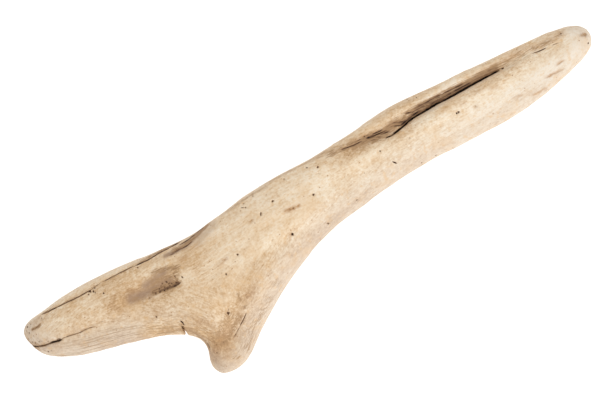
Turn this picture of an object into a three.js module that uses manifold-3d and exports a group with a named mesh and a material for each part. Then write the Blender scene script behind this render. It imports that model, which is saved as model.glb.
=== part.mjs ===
// A piece of driftwood: one solid, sea-worn fork of wood, lying flat as it comes to rest.
// A long limb runs along X. Near its thick end it throws off a short worn stub towards -Y.
// +Z is up, the ground is z = 0, and the origin is under the middle of the plan.

import * as THREE from "three";
import { mergeVertices } from "three/addons/utils/BufferGeometryUtils.js";
import Module from "manifold-3d";

// ---------- Driving dimensions, mm ----------

const LENGTH = 450; // tip to tip
const THICKNESS = 40; // of the wood at the fork, where it is thickest
const ARCH = 6.5; // how far the underside rises off the ground between its bearing points
const WORN_FLAT = 1.3; // depth worn off the underside where it bears on the ground

// Every place on the plan is [x, y] in per cent of LENGTH, from the middle of the piece.
const PER_CENT = LENGTH / 100;

// ---------- The plan: two edges, drawn as pairs ----------

// The far (+Y) edge and the near (-Y) edge, from the thick end's tip to the thin end's tip.
// Points with the same index face each other across the limb, and a section is cut between them.
// At the fork the near edge runs round the crotch, down the stub, round its end and back up.
const FAR_EDGE = [
  [-50.1, 7.0], [-49.4, 8.6], [-47.7, 9.2], [-42.5, 9.8], [-37.8, 10.1], [-32.7, 10.0],
  [-28.3, 9.6], [-25.2, 9.3], [-22.9, 9.2], [-21.2, 9.3], [-19.4, 9.3], [-18.0, 9.4],
  [-16.5, 9.7], [-14.5, 10.0], [-12.3, 10.3], [-9.6, 10.6], [-4.0, 11.0], [3.3, 11.2],
  [9.6, 11.7], [16.6, 12.6], [26.0, 12.2], [36.2, 11.8], [44.6, 11.4], [48.6, 10.5],
  [49.8, 9.6], [50.1, 8.3],
];
const NEAR_EDGE = [
  [-50.1, 7.0], [-49.5, 5.2], [-48.3, 3.2], [-44.8, 1.0], [-39.6, -0.4], [-34.5, -1.5],
  [-30.5, -2.6], [-27.7, -3.9], [-26.2, -5.2], [-25.3, -7.1], [-25.8, -9.0], [-26.0, -10.6],
  [-25.2, -12.1], [-22.9, -12.6], [-20.3, -11.7], [-17.0, -9.1], [-9.6, -4.3], [0, -0.2],
  [8.4, 1.3], [16.0, 2.1], [26.0, 2.3], [36.6, 2.9], [43.7, 4.5], [47.9, 5.7],
  [49.6, 6.9], [50.1, 8.3],
];

// ---------- The side view ----------

// Thickness along X as a share of THICKNESS, and the underside's rise as a share of ARCH.
// A share of 0 is where the limb bears on the ground: under the thick end and the long arm.
const LIMB_THICKNESS = [
  [-50, 0.66], [-46, 0.76], [-40, 0.84], [-32, 0.89], [-24, 0.97], [-16, 1.0], [-8, 0.99],
  [2, 0.94], [14, 0.88], [26, 0.83], [38, 0.76], [46, 0.66], [50, 0.5],
];
const LIMB_RISE = [
  [-50, 0.9], [-45, 0.3], [-38, 0], [-30, 0.25], [-18, 0.8], [-4, 1.0], [8, 0.6],
  [18, 0.12], [25, 0], [32, 0.2], [41, 0.9], [50, 2.1],
];
const STUB_THICKNESS = 0.8; // the stub's own thickness, as a share of THICKNESS
const STUB_RISE = -0.42; // and its underside's rise, as a share of ARCH: it leans on the ground
const STUB_STARTS = -1.5; // per cent: where the body begins to thin towards the stub
const STUB_FORMED = -9.5; // per cent: where the wood is all stub
const ROUNDNESS = 0.86; // most that a section's thickness may be of its width
const ROUND_SECTION = 2.05; // superellipse power of a plain limb: nearly an ellipse
const BROAD_SECTION = 2.9; // and of the widest section, across the body and the stub
const PLAIN_WIDTH = 11; // per cent: sections up to this width are plain
const BENT_WIDTH = 14; // per cent: sections from this width on meet both edges squarely
const BROAD_WIDTH = 21; // per cent: sections from this width on are broad
const SHOULDER = 10; // mm: how far in from the edge a broad section bends to meet it squarely

// ---------- Worn hollows in the upper face ----------

// Each is a line on the plan, the half-width across it and its depth, mm. The ends fade out.
const HOLLOWS = [
  { // the long trough beside the split, where the soft heart has washed out
    path: [[8, 10.1], [13.4, 9.6], [18.7, 9.9], [26, 10.2], [34, 10.3], [42, 10.0], [47, 9.7]],
    halfWidth: 5.5, depth: 4.2,
  },
  { // the scooped place where the thick end meets the body
    path: [[-33.5, 4.9], [-28.4, 4.5], [-24.6, 4.1]],
    halfWidth: 9, depth: 3.0,
  },
  { // the seam that sets a narrow ridge apart along the thick end
    path: [[-46, 9.0], [-40, 8.8], [-34, 8.9], [-28, 8.8], [-23, 8.7]],
    halfWidth: 2.8, depth: 1.6,
  },
  { // the fold between the stub and the crotch
    path: [[-18.5, -5.6], [-21.1, -7.3], [-23.7, -8.3], [-25.6, -9.2]],
    halfWidth: 6, depth: 3.6,
  },
];

// ---------- Splits: thin cuts that follow the grain ----------

// Each is a line on the plan, its width at the widest, mm, and its reach below the top, mm.
const SPLITS = [
  { // the long drying split at the foot of the trough
    path: [[13.9, 8.6], [17.1, 8.9], [22.7, 9.45], [28, 9.65], [34.7, 9.8]],
    width: 1.8, reach: 13,
  },
  { // the split that opens in the thick end's tip
    path: [[-49.9, 5.1], [-47.9, 4.75], [-44.9, 4.2]],
    width: 1.5, reach: 13,
  },
];
const NOTCH = { at: [-27.5, -4.2], mouth: 3, run: 7 }; // the broken chip in the crotch, mm

// ---------- How finely the surface is cut up ----------

const SECTIONS = 92; // along the limb, tip to tip
const POINTS_ROUND = 40; // round each section

// ---------- Helpers ----------

const mix = THREE.MathUtils.lerp;
const onPlan = ([x, y]) => new THREE.Vector3(x * PER_CENT, y * PER_CENT, 0);

// A smooth curve through places on the plan.
const planCurve = (places) =>
  new THREE.CatmullRomCurve3(places.map(onPlan), false, "centripetal");

// A smooth function of x through [x per cent, share] pairs.
function profile(pairs) {
  const cubic = new THREE.CubicInterpolant(
    pairs.map(([x]) => x * PER_CENT), pairs.map(([, share]) => share), 1, new Float32Array(1));
  return (x) => cubic.evaluate(THREE.MathUtils.clamp(x, -LENGTH / 2, LENGTH / 2))[0];
}

// The lesser of two lengths, with a rounded change from one to the other.
const softLesser = (a, b) => (a ** -5 + b ** -5) ** (-1 / 5);

// A cosine raised to the power that makes a superellipse.
const rounded = (value, power) => Math.sign(value) * Math.abs(value) ** (2 / power);

const limbThickness = profile(LIMB_THICKNESS);
const limbRise = profile(LIMB_RISE);

// 0 over the limb, 1 over the stub, and smooth between them.
const stubShare = (y) =>
  THREE.MathUtils.smoothstep(-y, -STUB_STARTS * PER_CENT, -STUB_FORMED * PER_CENT);

const thicknessAt = (x, y) => THICKNESS * mix(limbThickness(x), STUB_THICKNESS, stubShare(y));
const undersideAt = (x, y) => ARCH * mix(limbRise(x), STUB_RISE, stubShare(y)) - WORN_FLAT;

// Slow swells of about half a millimetre, so that no stretch is dead straight.
function swell(x, y, turn) {
  return 0.45 * Math.sin(x / 23 + 2 * turn) + 0.35 * Math.sin(x / 11 - 3 * turn + y / 17);
}

// ---------- The hollows as a depth over the plan ----------

function hollowDepth(x, y) {
  let depth = 0;
  for (const { line, halfWidth, depth: deepest } of hollowLines) {
    let share = 0;
    line.forEach((place, i) => {
      const distance = Math.hypot(place.x - x, place.y - y) / halfWidth;
      const fade = Math.sin((Math.PI * (i + 0.5)) / line.length) ** 0.6;
      share = Math.max(share, fade * Math.exp(-distance * distance));
    });
    depth += deepest * share;
  }
  return depth;
}

const hollowLines = HOLLOWS.map(({ path, halfWidth, depth }) => ({
  line: planCurve(path).getSpacedPoints(60), halfWidth, depth,
}));

// ---------- The body: a loft through fanned sections ----------

// Square to an edge and into the wood: side is -1 for the far edge and 1 for the near edge.
function inward(edge, t, side) {
  const along = edge.getTangent(t);
  return new THREE.Vector3(-side * along.y, side * along.x, 0);
}

// The line on the plan that the section at station t stands on. A plain limb's is straight.
// Across the fork it bends, so that it meets the sides of the stub squarely.
function sectionAt(farEdge, nearEdge, t) {
  const far = farEdge.getPoint(t);
  const near = nearEdge.getPoint(t);
  const width = far.distanceTo(near);
  const broad = THREE.MathUtils.smoothstep(width, PLAIN_WIDTH * PER_CENT, BROAD_WIDTH * PER_CENT);
  const bend = THREE.MathUtils.smoothstep(width, PLAIN_WIDTH * PER_CENT, BENT_WIDTH * PER_CENT);
  const straight = near.clone().sub(far).normalize();
  const leave = straight.clone().lerp(inward(farEdge, t, -1), bend).normalize();
  const arrive = straight.clone().negate().lerp(inward(nearEdge, t, 1), bend).normalize();
  const line = new THREE.CubicBezierCurve3(
    far, far.clone().addScaledVector(leave, width / 3),
    near.clone().addScaledVector(arrive, mix(width / 3, SHOULDER, bend)), near);
  return { line, width, power: mix(ROUND_SECTION, BROAD_SECTION, broad) };
}

// One point of a section, where turn runs once round from the far edge, over the top,
// to the near edge and back underneath.
function surfacePoint({ line, width, power }, turn) {
  const angle = turn * 2 * Math.PI;
  const across = 0.5 - 0.5 * rounded(Math.cos(angle), power);
  const rise = rounded(Math.sin(angle), power);
  const place = line.getPointAt(across);
  const full = thicknessAt(place.x, place.y);
  const thick = softLesser(full, ROUNDNESS * width);
  const middle = undersideAt(place.x, place.y) + full / 2;
  const lumps = rise * swell(place.x, place.y, angle) * (thick / full);
  const hollow = rise > 0 ? rise * hollowDepth(place.x, place.y) : 0;
  place.z = middle + (rise * thick) / 2 + lumps - hollow;
  return place;
}

// Rings of points between the two tips, closed at each tip by one point.
function loftGeometry() {
  const farEdge = planCurve(FAR_EDGE);
  const nearEdge = planCurve(NEAR_EDGE);
  const tip = (place) => {
    const middle = undersideAt(place.x, place.y) + thicknessAt(place.x, place.y) / 2;
    return new THREE.Vector3(place.x, place.y, middle);
  };
  const points = [tip(farEdge.getPoint(0))];
  for (let i = 1; i < SECTIONS; i++) {
    const section = sectionAt(farEdge, nearEdge, i / SECTIONS);
    for (let j = 0; j < POINTS_ROUND; j++) points.push(surfacePoint(section, j / POINTS_ROUND));
  }
  points.push(tip(farEdge.getPoint(1)));
  const last = points.length - 1;
  const ring = (i, j) => 1 + (i - 1) * POINTS_ROUND + (j % POINTS_ROUND);
  const faces = [];
  for (let j = 0; j < POINTS_ROUND; j++) {
    faces.push(0, ring(1, j + 1), ring(1, j));
    for (let i = 1; i < SECTIONS - 1; i++) {
      faces.push(ring(i, j), ring(i + 1, j + 1), ring(i + 1, j));
      faces.push(ring(i, j), ring(i, j + 1), ring(i + 1, j + 1));
    }
    faces.push(last, ring(SECTIONS - 1, j), ring(SECTIONS - 1, j + 1));
  }
  return new THREE.BufferGeometry().setFromPoints(points).setIndex(faces);
}

// ---------- The cutters ----------

// A thin blade, lens-shaped on the plan, that stands in the wood along a split.
function splitGeometry({ path, width, reach }) {
  const steps = 14;
  const curve = planCurve(path);
  const side = (sign) =>
    Array.from({ length: steps - 1 }, (_, k) => {
      const t = (k + 1) / steps;
      const place = curve.getPoint(t);
      const along = curve.getTangent(t);
      const half = (sign * width * Math.sin(Math.PI * t) ** 0.7) / 2;
      return new THREE.Vector2(place.x - along.y * half, place.y + along.x * half);
    });
  const ends = [curve.getPoint(0), curve.getPoint(1)].map((p) => new THREE.Vector2(p.x, p.y));
  const lens = new THREE.Shape([ends[0], ...side(-1), ends[1], ...side(1).reverse()]);
  const middle = curve.getPoint(0.5);
  const top = undersideAt(middle.x, middle.y) + thicknessAt(middle.x, middle.y);
  const blade = new THREE.ExtrudeGeometry(lens, { depth: 2 * reach, bevelEnabled: false });
  return blade.translate(0, 0, top - reach);
}

// A wedge that stands on end, open towards the crotch.
function notchGeometry({ at, mouth, run }) {
  const place = onPlan(at);
  const wedge = new THREE.Shape([
    new THREE.Vector2(-mouth / 2, -run), new THREE.Vector2(mouth / 2, -run),
    new THREE.Vector2(0, run),
  ]);
  const height = 2 * THICKNESS;
  const cutter = new THREE.ExtrudeGeometry(wedge, { depth: height, bevelEnabled: false });
  return cutter.rotateZ(0.12).translate(place.x, place.y, -height / 4);
}

// Everything above the ground.
function aboveGround() {
  const size = 2 * LENGTH;
  return new THREE.BoxGeometry(size, size, size).translate(0, 0, size / 2);
}

// ---------- Joining and cutting ----------

const wasm = await Module();
wasm.setup();

// A closed geometry as a solid: only positions are kept, and shared corners are merged.
function solid(geometry) {
  for (const name of Object.keys(geometry.attributes))
    if (name !== "position") geometry.deleteAttribute(name);
  const merged = mergeVertices(geometry, 1e-3);
  return new wasm.Manifold(new wasm.Mesh({
    numProp: 3,
    vertProperties: merged.attributes.position.array,
    triVerts: new Uint32Array(merged.index.array),
  }));
}

function geometryOf(shape) {
  const mesh = shape.getMesh();
  return new THREE.BufferGeometry()
    .setAttribute("position", new THREE.BufferAttribute(mesh.vertProperties, 3))
    .setIndex(new THREE.BufferAttribute(mesh.triVerts, 1));
}

function driftwoodGeometry() {
  let wood = solid(loftGeometry()).intersect(solid(aboveGround()));
  for (const split of SPLITS) wood = wood.subtract(solid(splitGeometry(split)));
  wood = wood.subtract(solid(notchGeometry(NOTCH)));
  const geometry = geometryOf(wood);
  geometry.computeVertexNormals();
  return geometry;
}

// ---------- The part ----------

const weatheredWood = new THREE.MeshStandardMaterial({
  color: new THREE.Color(0.86, 0.76, 0.62), roughness: 0.82, metalness: 0,
});

const driftwood = new THREE.Mesh(driftwoodGeometry(), weatheredWood);
driftwood.name = "driftwood";

// The plan is moved so that the middle of its box is the origin, and the ground stays at z = 0.
const part = new THREE.Group();
const middle = new THREE.Box3().setFromObject(driftwood).getCenter(new THREE.Vector3());
driftwood.position.set(-middle.x, -middle.y, 0);
part.add(driftwood);

export default part;
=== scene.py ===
# %% [markdown]
# # A piece of driftwood
#
# This lesson makes one natural thing: a forked limb that the sea has stripped, worn smooth and
# bleached. A natural form has no flat faces and no repeats, so it can't be built from parts.
# It is made as a carver would make it: a smooth blank first, then the large forms, then the
# splits, holes and grain, each finer than the last, and the colour at the end.

import math

import bpy
import numpy as np
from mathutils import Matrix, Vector


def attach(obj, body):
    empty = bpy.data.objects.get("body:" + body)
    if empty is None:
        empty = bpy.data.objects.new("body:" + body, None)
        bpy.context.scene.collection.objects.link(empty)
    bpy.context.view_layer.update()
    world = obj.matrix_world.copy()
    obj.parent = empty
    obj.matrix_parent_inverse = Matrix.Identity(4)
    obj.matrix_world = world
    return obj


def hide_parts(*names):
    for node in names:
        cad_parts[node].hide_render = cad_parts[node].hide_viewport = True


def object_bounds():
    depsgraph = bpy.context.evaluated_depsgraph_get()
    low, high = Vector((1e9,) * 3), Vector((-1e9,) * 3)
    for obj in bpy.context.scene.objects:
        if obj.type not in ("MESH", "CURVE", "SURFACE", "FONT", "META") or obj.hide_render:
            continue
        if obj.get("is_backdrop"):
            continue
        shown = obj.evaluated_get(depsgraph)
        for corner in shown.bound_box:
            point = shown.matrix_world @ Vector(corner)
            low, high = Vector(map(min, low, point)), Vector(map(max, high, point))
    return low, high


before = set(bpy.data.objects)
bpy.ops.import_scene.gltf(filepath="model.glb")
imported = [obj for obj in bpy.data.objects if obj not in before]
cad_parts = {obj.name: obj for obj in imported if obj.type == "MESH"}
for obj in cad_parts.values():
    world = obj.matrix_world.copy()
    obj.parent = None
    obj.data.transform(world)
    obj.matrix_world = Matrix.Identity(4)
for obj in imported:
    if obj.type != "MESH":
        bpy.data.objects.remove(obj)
cad_low, cad_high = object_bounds()
MM = 0.001
LENGTH = cad_high.x - cad_low.x
PER_CENT = LENGTH / 100
print(f"the limb is {LENGTH / MM:.0f} mm long")

# %% [markdown]
# ## The camera
#
# The wood lies flat and is seen from straight above, turned so that the long arm points up and to
# the right. A long lens far away keeps the shape nearly free of perspective. Another way is an
# orthographic camera, but its frame doesn't widen when it is moved round to the other sides.

# %% Camera
LENS = 100  # mm
SENSOR_WIDTH = 36  # mm
SEEN_WIDTH = 0.957 * LENGTH  # what the frame holds from left to right, at the wood's mid-height
TURN = math.radians(27.5)  # how far the limb rises to the right in the frame
AIM = Vector((-1.45 * PER_CENT, 5.25 * PER_CENT, cad_high.z / 2))  # the middle of the view

camera = bpy.data.objects.new("camera", bpy.data.cameras.new("camera"))
camera.data.lens = LENS
camera.data.sensor_width = SENSOR_WIDTH
camera.location = AIM + Vector((0, 0, SEEN_WIDTH * LENS / SENSOR_WIDTH))
camera.rotation_euler = (0, 0, -TURN)
camera.data.clip_end = 20  # m, so that the far floor is not cut off
bpy.context.scene.collection.objects.link(camera)
bpy.context.scene.camera = camera
print(f"the camera is {camera.location.z:.2f} m up")

# %% [markdown]
# ## Soft light
#
# A product table is lit from all round, with a little more light from one side so that the form
# can be read. Here the sky is the all-round light, and one large panel on the near side, towards
# the thin end, is the stronger one. A small lamp would throw a hard shadow, so the panel is wide.

# %% Light
SKY_STRENGTH = 0.68
SKY_COLOUR = (1.0, 0.985, 0.96, 1)  # a little warmer than white
PANEL_SIZE = 1.1  # m
PANEL_POWER = 9  # W
PANEL_DISTANCE = 1.35  # m

world = bpy.data.worlds.new("soft_sky")
world.use_nodes = True
world.node_tree.nodes["Background"].inputs["Color"].default_value = SKY_COLOUR
world.node_tree.nodes["Background"].inputs["Strength"].default_value = SKY_STRENGTH
bpy.context.scene.world = world
bpy.context.scene.view_settings.view_transform = "Standard"


def light_panel(name, across, up, power, size):
    """A square panel that faces the wood. Its place is given by two angles in degrees: across,
    round from +X, and up, above the floor."""
    lamp = bpy.data.lights.new(name, "AREA")
    lamp.size = size
    lamp.energy = power
    panel = bpy.data.objects.new(name, lamp)
    turn, rise = math.radians(across), math.radians(up)
    level = math.cos(rise)
    direction = Vector((math.cos(turn) * level, math.sin(turn) * level, math.sin(rise)))
    panel.location = AIM + direction * PANEL_DISTANCE
    panel.rotation_mode = "QUATERNION"
    panel.rotation_quaternion = direction.to_track_quat("Z", "Y")
    bpy.context.scene.collection.objects.link(panel)
    return panel


main_panel = light_panel("main_panel", across=-62, up=52, power=PANEL_POWER, size=PANEL_SIZE)
print(f"the panel hangs {main_panel.location.z:.2f} m up")

# %% [markdown]
# ## The floor
#
# A plain white sheet that glows like a light table, so the wood hardly casts a shadow. It is
# clear from below, so that a camera under it can see the wood's underside.

# %% Floor
FLOOR_SIZE = 30  # m
FLOOR_DROP = 0.2 * MM  # under the wood's lowest point
PAPER_GREY = (0.35, 0.35, 0.35, 1)
GLOW = 0.93

bpy.ops.object.select_all(action="DESELECT")
bpy.ops.mesh.primitive_plane_add(size=FLOOR_SIZE, location=(0, 0, -FLOOR_DROP))
floor = bpy.context.active_object
floor.name = "floor"
paper = bpy.data.materials.new("white_sheet")
paper.use_nodes = True
paper_shader = paper.node_tree.nodes["Principled BSDF"]
paper_shader.inputs["Base Color"].default_value = PAPER_GREY
paper_shader.inputs["Roughness"].default_value = 0.9
paper_shader.inputs["Specular IOR Level"].default_value = 0.1
paper_shader.inputs["Emission Color"].default_value = (1, 1, 1, 1)
paper_shader.inputs["Emission Strength"].default_value = GLOW
side_seen = paper.node_tree.nodes.new("ShaderNodeNewGeometry")
clear = paper.node_tree.nodes.new("ShaderNodeBsdfTransparent")
one_sided = paper.node_tree.nodes.new("ShaderNodeMixShader")
paper.node_tree.links.new(side_seen.outputs["Backfacing"], one_sided.inputs[0])
paper.node_tree.links.new(paper_shader.outputs[0], one_sided.inputs[1])
paper.node_tree.links.new(clear.outputs[0], one_sided.inputs[2])
paper.node_tree.links.new(one_sided.outputs[0], paper.node_tree.nodes["Material Output"].inputs[0])
floor.data.materials.append(paper)
floor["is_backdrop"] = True
print(f"the floor is {floor.dimensions.x:.0f} m wide")

# %% [markdown]
# ## The blank
#
# The frame's solid has the right shape and size, but it is made of flat facets and has sharp saw
# cuts. The blank is a casting of it with an even skin: the Remesh modifier lays a grid of equal
# squares over the shape, coarse enough to bridge the cuts, the Smooth modifier wears the grid
# down, and Subdivision Surface cuts each square in four. A blank could also be modelled by hand,
# but this way it follows the solid closely.

# %% Blank
GRID = 2.7 * MM  # the side of one square before it is divided


def only(piece):
    """Leaves one object selected and active, as a click on it does."""
    bpy.ops.object.select_all(action="DESELECT")
    piece.select_set(True)
    bpy.context.view_layer.objects.active = piece


def finish_with(piece, kind, **settings):
    """Adds a modifier with these settings and applies it."""
    only(piece)
    modifier = piece.modifiers.new(kind.lower(), kind)
    for name, value in settings.items():
        setattr(modifier, name, value)
    bpy.ops.object.modifier_apply(modifier=modifier.name)


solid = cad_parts["driftwood"]
wood = bpy.data.objects.new("driftwood_skin", solid.data.copy())
bpy.context.scene.collection.objects.link(wood)
wood.data.materials.clear()
only(wood)
bpy.ops.object.mode_set(mode="EDIT")
bpy.ops.mesh.select_all(action="SELECT")
bpy.ops.mesh.remove_doubles(threshold=0.01 * MM)
bpy.ops.object.mode_set(mode="OBJECT")
finish_with(wood, "REMESH", mode="VOXEL", voxel_size=GRID, use_smooth_shade=True)
finish_with(wood, "SMOOTH", factor=0.5, iterations=9)
finish_with(wood, "SUBSURF", levels=1, render_levels=1)


def box_of(piece):
    """The lowest and the highest corner of a piece's box."""
    corners = np.array([corner[:] for corner in piece.bound_box])
    return corners.min(0), corners.max(0)


# Smoothing draws the skin in at its ends, so it is stretched back to the frame's box.
low, high = box_of(wood)
stretch = [(b - a) / (d - c) for a, b, c, d in zip(cad_low, cad_high, low, high)]
bpy.ops.transform.resize(value=stretch, center_override=(0, 0, 0))
bpy.ops.object.transform_apply(location=True, rotation=False, scale=True)
low, high = box_of(wood)
bpy.ops.transform.translate(value=[a - b for a, b in zip(cad_low, low)])
bpy.ops.object.transform_apply(location=True, rotation=False, scale=True)
print(f"the blank has {len(wood.data.polygons)} faces")

# %% [markdown]
# ## Working along lines
#
# Everything on this wood follows its fibres, so each mark is given as a line of places on the
# plan, in per cent of the length, seen from above. Two helpers do the work: one draws a smooth
# line through the places, the other says how far every point of the skin lies beside that line.

# %% Lines on the plan


def smooth_line(places, steps=8):
    """A smooth line through places in per cent, as points in metres (a Catmull-Rom curve)."""
    p = np.array(places, float) * PER_CENT
    p = np.vstack([2 * p[0] - p[1], p, 2 * p[-1] - p[-2]])  # one more place beyond each end
    t = np.linspace(0, 1, steps, endpoint=False)[:, None]
    spans = [
        0.5 * ((2 * b) + (c - a) * t + (2 * a - 5 * b + 4 * c - d) * t**2
               + (3 * b - a - 3 * c + d) * t**3)
        for a, b, c, d in zip(p, p[1:], p[2:], p[3:])
    ]
    return np.vstack([*spans, p[-2:-1]])


def beside(points, line):
    """For each point, in metres: how far along the line its nearest place is, and how far it lies
    to the line's left. To the right is negative."""
    nearest = np.full(len(points), np.inf)
    along = np.zeros(len(points))
    left = np.zeros(len(points))
    walked = 0.0
    for start, step in zip(line, np.diff(line, axis=0)):
        size = np.hypot(*step)
        away = points[:, :2] - start
        share = np.clip(away @ step / size**2, 0, 1)
        gap = np.hypot(*(away - share[:, None] * step).T)
        closer = gap < nearest
        nearest[closer] = gap[closer]
        along[closer] = walked + share[closer] * size
        turn = step[0] * away[:, 1] - step[1] * away[:, 0]
        left[closer] = np.copysign(gap, turn)[closer]
        walked += size
    return along, left


def smooth_step(value, low, high):
    """0 up to low, 1 from high on, and a soft change between them."""
    share = np.clip((value - low) / (high - low), 0, 1)
    return share * share * (3 - 2 * share)


print(f"a bend of 3 places is drawn with {len(smooth_line([(0, 0), (1, 1), (2, 0)]))} points")

# %% [markdown]
# ## Points and ripples
#
# A brush moves a few points at a time. Here numpy reads all the points of the skin, works on them
# together and puts them back. No worn surface is even, so there is also a source of soft ripples.
# Blender's Displace modifier has noise too, but to follow bent fibres it would need a UV map.

# %% Points and ripples


def points_of(piece):
    """The places of a piece's points, in metres, one row each."""
    values = np.empty(3 * len(piece.data.vertices), np.float32)
    piece.data.vertices.foreach_get("co", values)
    return values.reshape(-1, 3).astype(float)


def normals_of(piece):
    """Which way the skin faces at each point, one row each."""
    values = np.empty(3 * len(piece.data.vertices), np.float32)
    piece.data.vertex_normals.foreach_get("vector", values)
    return values.reshape(-1, 3).astype(float)


def move_points(piece, points):
    """Puts a piece's points at these places."""
    piece.data.vertices.foreach_set("co", points.astype(np.float32).ravel())
    piece.data.update()


def ripple(points, seed, detail=1):
    """Soft random numbers from -1 to 1, one for each point: random values on a grid of unit steps,
    blended between its corners. More detail adds finer, weaker ripples on top."""
    size = 48  # steps, after which the ripples repeat
    table = np.random.default_rng(seed).uniform(-1, 1, (size, size, size))
    total = np.zeros(len(points))
    for octave in range(detail):
        place = points * 2.0**octave
        cell = np.floor(place).astype(int)
        share = smooth_step(place - cell, 0, 1)
        for corner in np.ndindex(2, 2, 2):
            weight = np.where(corner, share, 1 - share).prod(axis=1)
            total += weight * table[tuple(((cell + corner) % size).T)] / 1.9**octave
    return total


print(f"the blank has {len(points_of(wood))} points")

# %% [markdown]
# ## The fibres
#
# The fibres run along the limb, part round the crotch and run down the stub. Two fields give
# each point its place among them: how far along an edge of the plan it lies, and how deep in
# from that edge. One field follows the long far edge, the other the near edge, which goes down
# one side of the stub and up the other. They change over softly in the middle of the wood.

# %% Fibres
FIELDS_APART = 1  # m, added to the near field so that the two don't show the same noise
CHANGE_OVER = (0.38, 0.68)  # how far across the wood the near field begins, and has taken over
FAR_EDGE = [
    (-50, 7), (-47.7, 9.2), (-37.8, 10.1), (-28.3, 9.6), (-21, 9.3), (-14.5, 10), (-4, 11),
    (6, 11.4), (16.6, 12.6), (26, 12.2), (36.2, 11.8), (44.6, 11.4), (48.6, 10.5), (50, 8.3),
]
NEAR_EDGE = [
    (-50, 7), (-48.3, 3.2), (-44.8, 1), (-34.5, -1.5), (-28, -3.7), (-26.2, -5.2), (-25.3, -7.1),
    (-25.9, -10), (-25, -12.1), (-22.9, -12.6), (-20.3, -11.7), (-17, -9.1), (-9.6, -4.3),
    (0, -0.2), (8.4, 1.3), (16, 2.1), (26, 2.3), (36.6, 2.9), (43.7, 4.5), (47.9, 5.7), (50, 8.3),
]


def fibre_fields(points):
    """The two fibre fields, each (along, in, up) in metres, and the near field's share."""
    far_along, far_in = beside(points, smooth_line(FAR_EDGE))
    near_along, near_in = beside(points, smooth_line(NEAR_EDGE))
    far_in, near_in = np.abs(far_in), np.abs(near_in)
    height = points[:, 2]
    far = np.column_stack([far_along, far_in, height])
    near = np.column_stack([near_along + FIELDS_APART, near_in, height])
    share = far_in / np.maximum(far_in + near_in, 1e-6)
    return far, near, smooth_step(share, *CHANGE_OVER)


def fibre_ripple(fields, length, width, seed, detail=2):
    """Ripples drawn out along the fibres: length and width in millimetres."""
    far, near, share = fields
    size = np.array([length, width, width]) * MM
    ripples = [ripple(field / size, seed, detail) for field in (far, near)]
    return ripples[0] * (1 - share) + ripples[1] * share


far_share = (fibre_fields(points_of(wood))[2] < 0.5).mean()
print(f"{far_share:.0%} of the points follow the far edge")

# %% [markdown]
# ## The large forms
#
# The sea takes the soft wood first. On the long arm it has dug a trough beside the drying split,
# under a narrow crest, and the wood on the split's other side stands up like a low wall. On the
# thick end it has left a rounded ridge along the far edge and a scoop before the body. These are
# pressed into the blank by moving points, as a clay brush does in sculpt mode. Smoothing has made
# the blank a little thin, so its outline is first pushed out again, in some places more than in
# others.

# %% A groove along a line


def round_line(points, line, margin):
    """True for the points in the box round a line, with a margin in metres."""
    plan = points[:, :2]
    return ((plan > line.min(0) - margin) & (plan < line.max(0) + margin)).all(axis=1)


def groove(points, places, depth, left, right, ends=5, sharpness=2.0):
    """How deep a groove along the places is at each point, in metres. In millimetres: its depth,
    its reach to each side, and how long it takes to run out. Sharpness 1 is a V, 2 a round dip."""
    line = smooth_line(places)
    total = np.hypot(*np.diff(line, axis=0).T).sum()
    near = round_line(points, line, 3.5 * max(left, right) * MM)
    along, side = beside(points[near], line)
    reach = np.where(side > 0, left, right) * MM
    fade = smooth_step(np.minimum(along, total - along), -0.1 * MM, min(ends * MM, 0.45 * total))
    deep = np.zeros(len(points))
    deep[near] = depth * MM * fade * np.exp(-((np.abs(side) / reach) ** sharpness))
    return deep


aside = groove(np.array([[0, 2 * MM, 0]]), [(-5, 0), (0, 0), (5, 0)], depth=2, left=4, right=4)
print(f"2 mm beside its line, a dip 2 mm deep is still {aside[0] / MM:.1f} mm deep")

# %% Where the large forms are
SPLIT = [(13.9, 8.6), (17.1, 8.9), (19.4, 9.3), (22.7, 9.5), (28.1, 9.7), (34.7, 9.8)]
FORMS = [  # places, depth, reach to the far side, reach to the near side; below 0 raises
    ([(3, 9.7), (8.6, 9.7), (14, 9.6), (19.5, 10), (26.8, 10.4), (35.7, 10.5), (44, 10)], 1.6, 4.5, 4),
    ([(12, 8.4), *SPLIT[1:], (40, 9.8)], 2.2, 5.5, 1.3),
    ([(12, 7.0), (17, 7.3), (23, 7.9), (30, 8.2), (38, 8.2)], -1.3, 4, 7),
    ([(8, 11.2), (16, 11.6), (26, 11.6), (36, 11.2), (44, 10.8)], -0.7, 3, 3),
    ([(-46, 9.3), (-38, 9.5), (-30, 9.2), (-23, 9.1)], -0.7, 3, 2.5),
    ([(-34, 5.2), (-30, 4.9), (-26.5, 4.3), (-23, 3.6)], 1.7, 7, 6),
    ([(-27.9, 4.0), (-26.4, 3.6), (-24, 3.3)], 1.2, 4, 3),
    ([(-47, 4.4), (-43, 3.9), (-38, 3.2), (-33, 2.4)], 0.9, 3, 5),
    ([(-24, 8.2), (-21, 8.0), (-17.6, 8.9)], 0.6, 3, 4),
    ([(-18.5, -5.2), (-20.5, -6.6), (-23, -8.2), (-24.6, -9.6)], 1.4, 5, 4),
    ([(-12, 9), (-4, 7.6), (4, 6.2), (12, 5.2)], 0.5, 8, 6),
    ([(-16, 5), (-8, 3.5), (0, 3), (10, 3.6)], -0.6, 7, 6),
    ([(-18, -2), (-14, 0.5), (-7, 1.8), (2, 1.6)], 0.6, 5, 5),
]

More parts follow.
